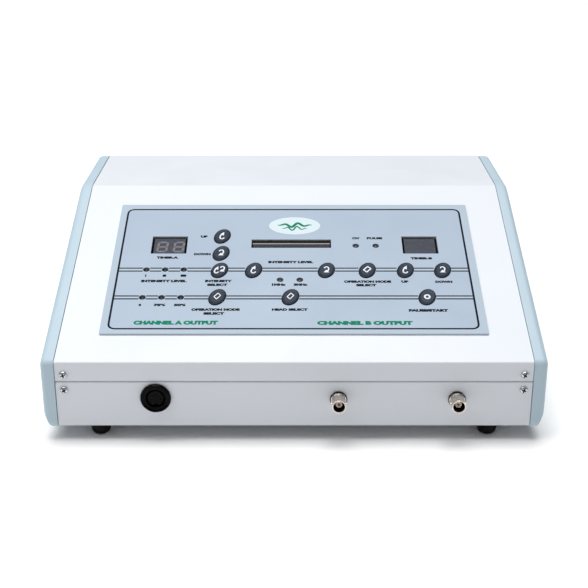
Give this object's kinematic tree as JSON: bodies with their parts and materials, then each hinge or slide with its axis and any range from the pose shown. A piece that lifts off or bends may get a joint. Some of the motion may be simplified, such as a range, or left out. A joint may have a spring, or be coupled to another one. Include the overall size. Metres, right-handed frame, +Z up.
{
  "type": "ultrasound therapy device",
  "caption": "Desktop ultrasound therapy console with a sloping membrane keypad, displays and lamps, moulded side cheeks, round multi-pin and coaxial sockets in front, and mains inlet behind.",
  "frame": {"origin": "centre of the bounding box's footprint, at the underside of the rubber feet", "axes": "+Z up, the front wall with the sockets faces -Y, +X to the right as seen from the front"},
  "size_m": [0.35, 0.316, 0.1293],
  "materials": {
    "powder_coat": "satin white powder coat",
    "cheek_plastic": "pale blue, fine moulded texture",
    "zinc_screw": "bright zinc",
    "rubber": "matt black",
    "printed_film": "blue-grey printed polyester film",
    "key_film": "dark slate embossed film",
    "switch_film": "clear film with printed silver tracks",
    "lamp_lens": "tinted clear epoxy",
    "display_lens": "smoked, with pale unlit segments",
    "circuit_board": "green solder mask",
    "black_plastic": "glossy black",
    "nickel": "nickel plate",
    "dark_nickel": "darkened nickel",
    "insulator": "cream fluoropolymer",
    "fuse_glass": "clear tube",
    "heatsink_aluminium": "mill finish",
    "ferrite": "dark ceramic",
    "capacitor_sleeve": "shrunk sleeve",
    "core_steel": "varnished laminations",
    "copper_winding": "taped enamelled copper",
    "grey_ribbon": "flat grey ribbon"
  },
  "bodies": {
    "console": {"top_cover": "powder_coat", "bottom_tray": "powder_coat", "left_cheek": "cheek_plastic", "right_cheek": "cheek_plastic", "screw_front_upper_left": "zinc_screw", "screw_front_upper_right": "zinc_screw", "screw_front_lower_left": "zinc_screw", "screw_front_lower_right": "zinc_screw", "screw_rear_upper_left": "zinc_screw", "screw_rear_upper_right": "zinc_screw", "screw_rear_lower_left": "zinc_screw", "screw_rear_lower_right": "zinc_screw", "foot_front_left": "rubber", "foot_front_right": "rubber", "foot_rear_left": "rubber", "foot_rear_right": "rubber", "printed_film": "printed_film", "switch_layer": "switch_film", "intensity_lamps": "lamp_lens", "mode_lamps": "lamp_lens", "head_lamps": "lamp_lens", "wave_lamps": "lamp_lens", "display_a": "display_lens", "display_b": "display_lens", "bar_meter": "display_lens", "control_board": "circuit_board", "generator_board": "circuit_board", "multi_pin_shell": "black_plastic", "multi_pin_insert": "black_plastic", "multi_pin_nut": "dark_nickel", "coax_left_socket": "nickel", "coax_left_contact": "insulator", "coax_left_nut": "dark_nickel", "coax_right_socket": "nickel", "coax_right_contact": "insulator", "coax_right_nut": "dark_nickel", "mains_inlet": "black_plastic", "switch_frame": "black_plastic", "fuse_holder": "black_plastic", "heatsink": "heatsink_aluminium", "output_transformer": "ferrite", "capacitor": "capacitor_sleeve", "buzzer": "black_plastic", "transformer_core": "core_steel", "transformer_winding": "copper_winding", "ribbon_cable": "grey_ribbon"},
    "key_timer_a_up": {"key_timer_a_up": "key_film"},
    "key_timer_a_down": {"key_timer_a_down": "key_film"},
    "key_intensity_select": {"key_intensity_select": "key_film"},
    "key_level_down": {"key_level_down": "key_film"},
    "key_level_up": {"key_level_up": "key_film"},
    "key_mode_b": {"key_mode_b": "key_film"},
    "key_timer_b_up": {"key_timer_b_up": "key_film"},
    "key_timer_b_down": {"key_timer_b_down": "key_film"},
    "key_mode_a": {"key_mode_a": "key_film"},
    "key_head_select": {"key_head_select": "key_film"},
    "key_start_pause": {"key_start_pause": "key_film"},
    "switch_rocker": {"switch_rocker": "black_plastic"},
    "fuse_carrier": {"fuse_cap": "black_plastic", "fuse_link": "fuse_glass"}
  },
  "joints": [
    {"name": "key_timer_a_up_press", "type": "slide", "parent": "console", "child": "key_timer_a_up", "axis": [0, 0.3321, -0.9433], "range_m": [0, 0.0004], "stiffness_N_per_m": 2500, "springref_m": -0.0004},
    {"name": "key_timer_a_down_press", "type": "slide", "parent": "console", "child": "key_timer_a_down", "axis": [0, 0.3321, -0.9433], "range_m": [0, 0.0004], "stiffness_N_per_m": 2500, "springref_m": -0.0004},
    {"name": "key_intensity_select_press", "type": "slide", "parent": "console", "child": "key_intensity_select", "axis": [0, 0.3321, -0.9433], "range_m": [0, 0.0004], "stiffness_N_per_m": 2500, "springref_m": -0.0004},
    {"name": "key_level_down_press", "type": "slide", "parent": "console", "child": "key_level_down", "axis": [0, 0.3321, -0.9433], "range_m": [0, 0.0004], "stiffness_N_per_m": 2500, "springref_m": -0.0004},
    {"name": "key_level_up_press", "type": "slide", "parent": "console", "child": "key_level_up", "axis": [0, 0.3321, -0.9433], "range_m": [0, 0.0004], "stiffness_N_per_m": 2500, "springref_m": -0.0004},
    {"name": "key_mode_b_press", "type": "slide", "parent": "console", "child": "key_mode_b", "axis": [0, 0.3321, -0.9433], "range_m": [0, 0.0004], "stiffness_N_per_m": 2500, "springref_m": -0.0004},
    {"name": "key_timer_b_up_press", "type": "slide", "parent": "console", "child": "key_timer_b_up", "axis": [0, 0.3321, -0.9433], "range_m": [0, 0.0004], "stiffness_N_per_m": 2500, "springref_m": -0.0004},
    {"name": "key_timer_b_down_press", "type": "slide", "parent": "console", "child": "key_timer_b_down", "axis": [0, 0.3321, -0.9433], "range_m": [0, 0.0004], "stiffness_N_per_m": 2500, "springref_m": -0.0004},
    {"name": "key_mode_a_press", "type": "slide", "parent": "console", "child": "key_mode_a", "axis": [0, 0.3321, -0.9433], "range_m": [0, 0.0004], "stiffness_N_per_m": 2500, "springref_m": -0.0004},
    {"name": "key_head_select_press", "type": "slide", "parent": "console", "child": "key_head_select", "axis": [0, 0.3321, -0.9433], "range_m": [0, 0.0004], "stiffness_N_per_m": 2500, "springref_m": -0.0004},
    {"name": "key_start_pause_press", "type": "slide", "parent": "console", "child": "key_start_pause", "axis": [0, 0.3321, -0.9433], "range_m": [0, 0.0004], "stiffness_N_per_m": 2500, "springref_m": -0.0004},
    {"name": "rocker_tilt", "type": "hinge", "parent": "console", "child": "switch_rocker", "pos_m": [-0.07, 0.1479, 0.0505], "axis": [1, 0, 0], "range_deg": [0, 20]},
    {"name": "fuse_cap_turn", "type": "hinge", "parent": "console", "child": "fuse_carrier", "pos_m": [-0.04, 0.1485, 0.0505], "axis": [0, 1, 0], "range_deg": [0, 90]}
  ]
}
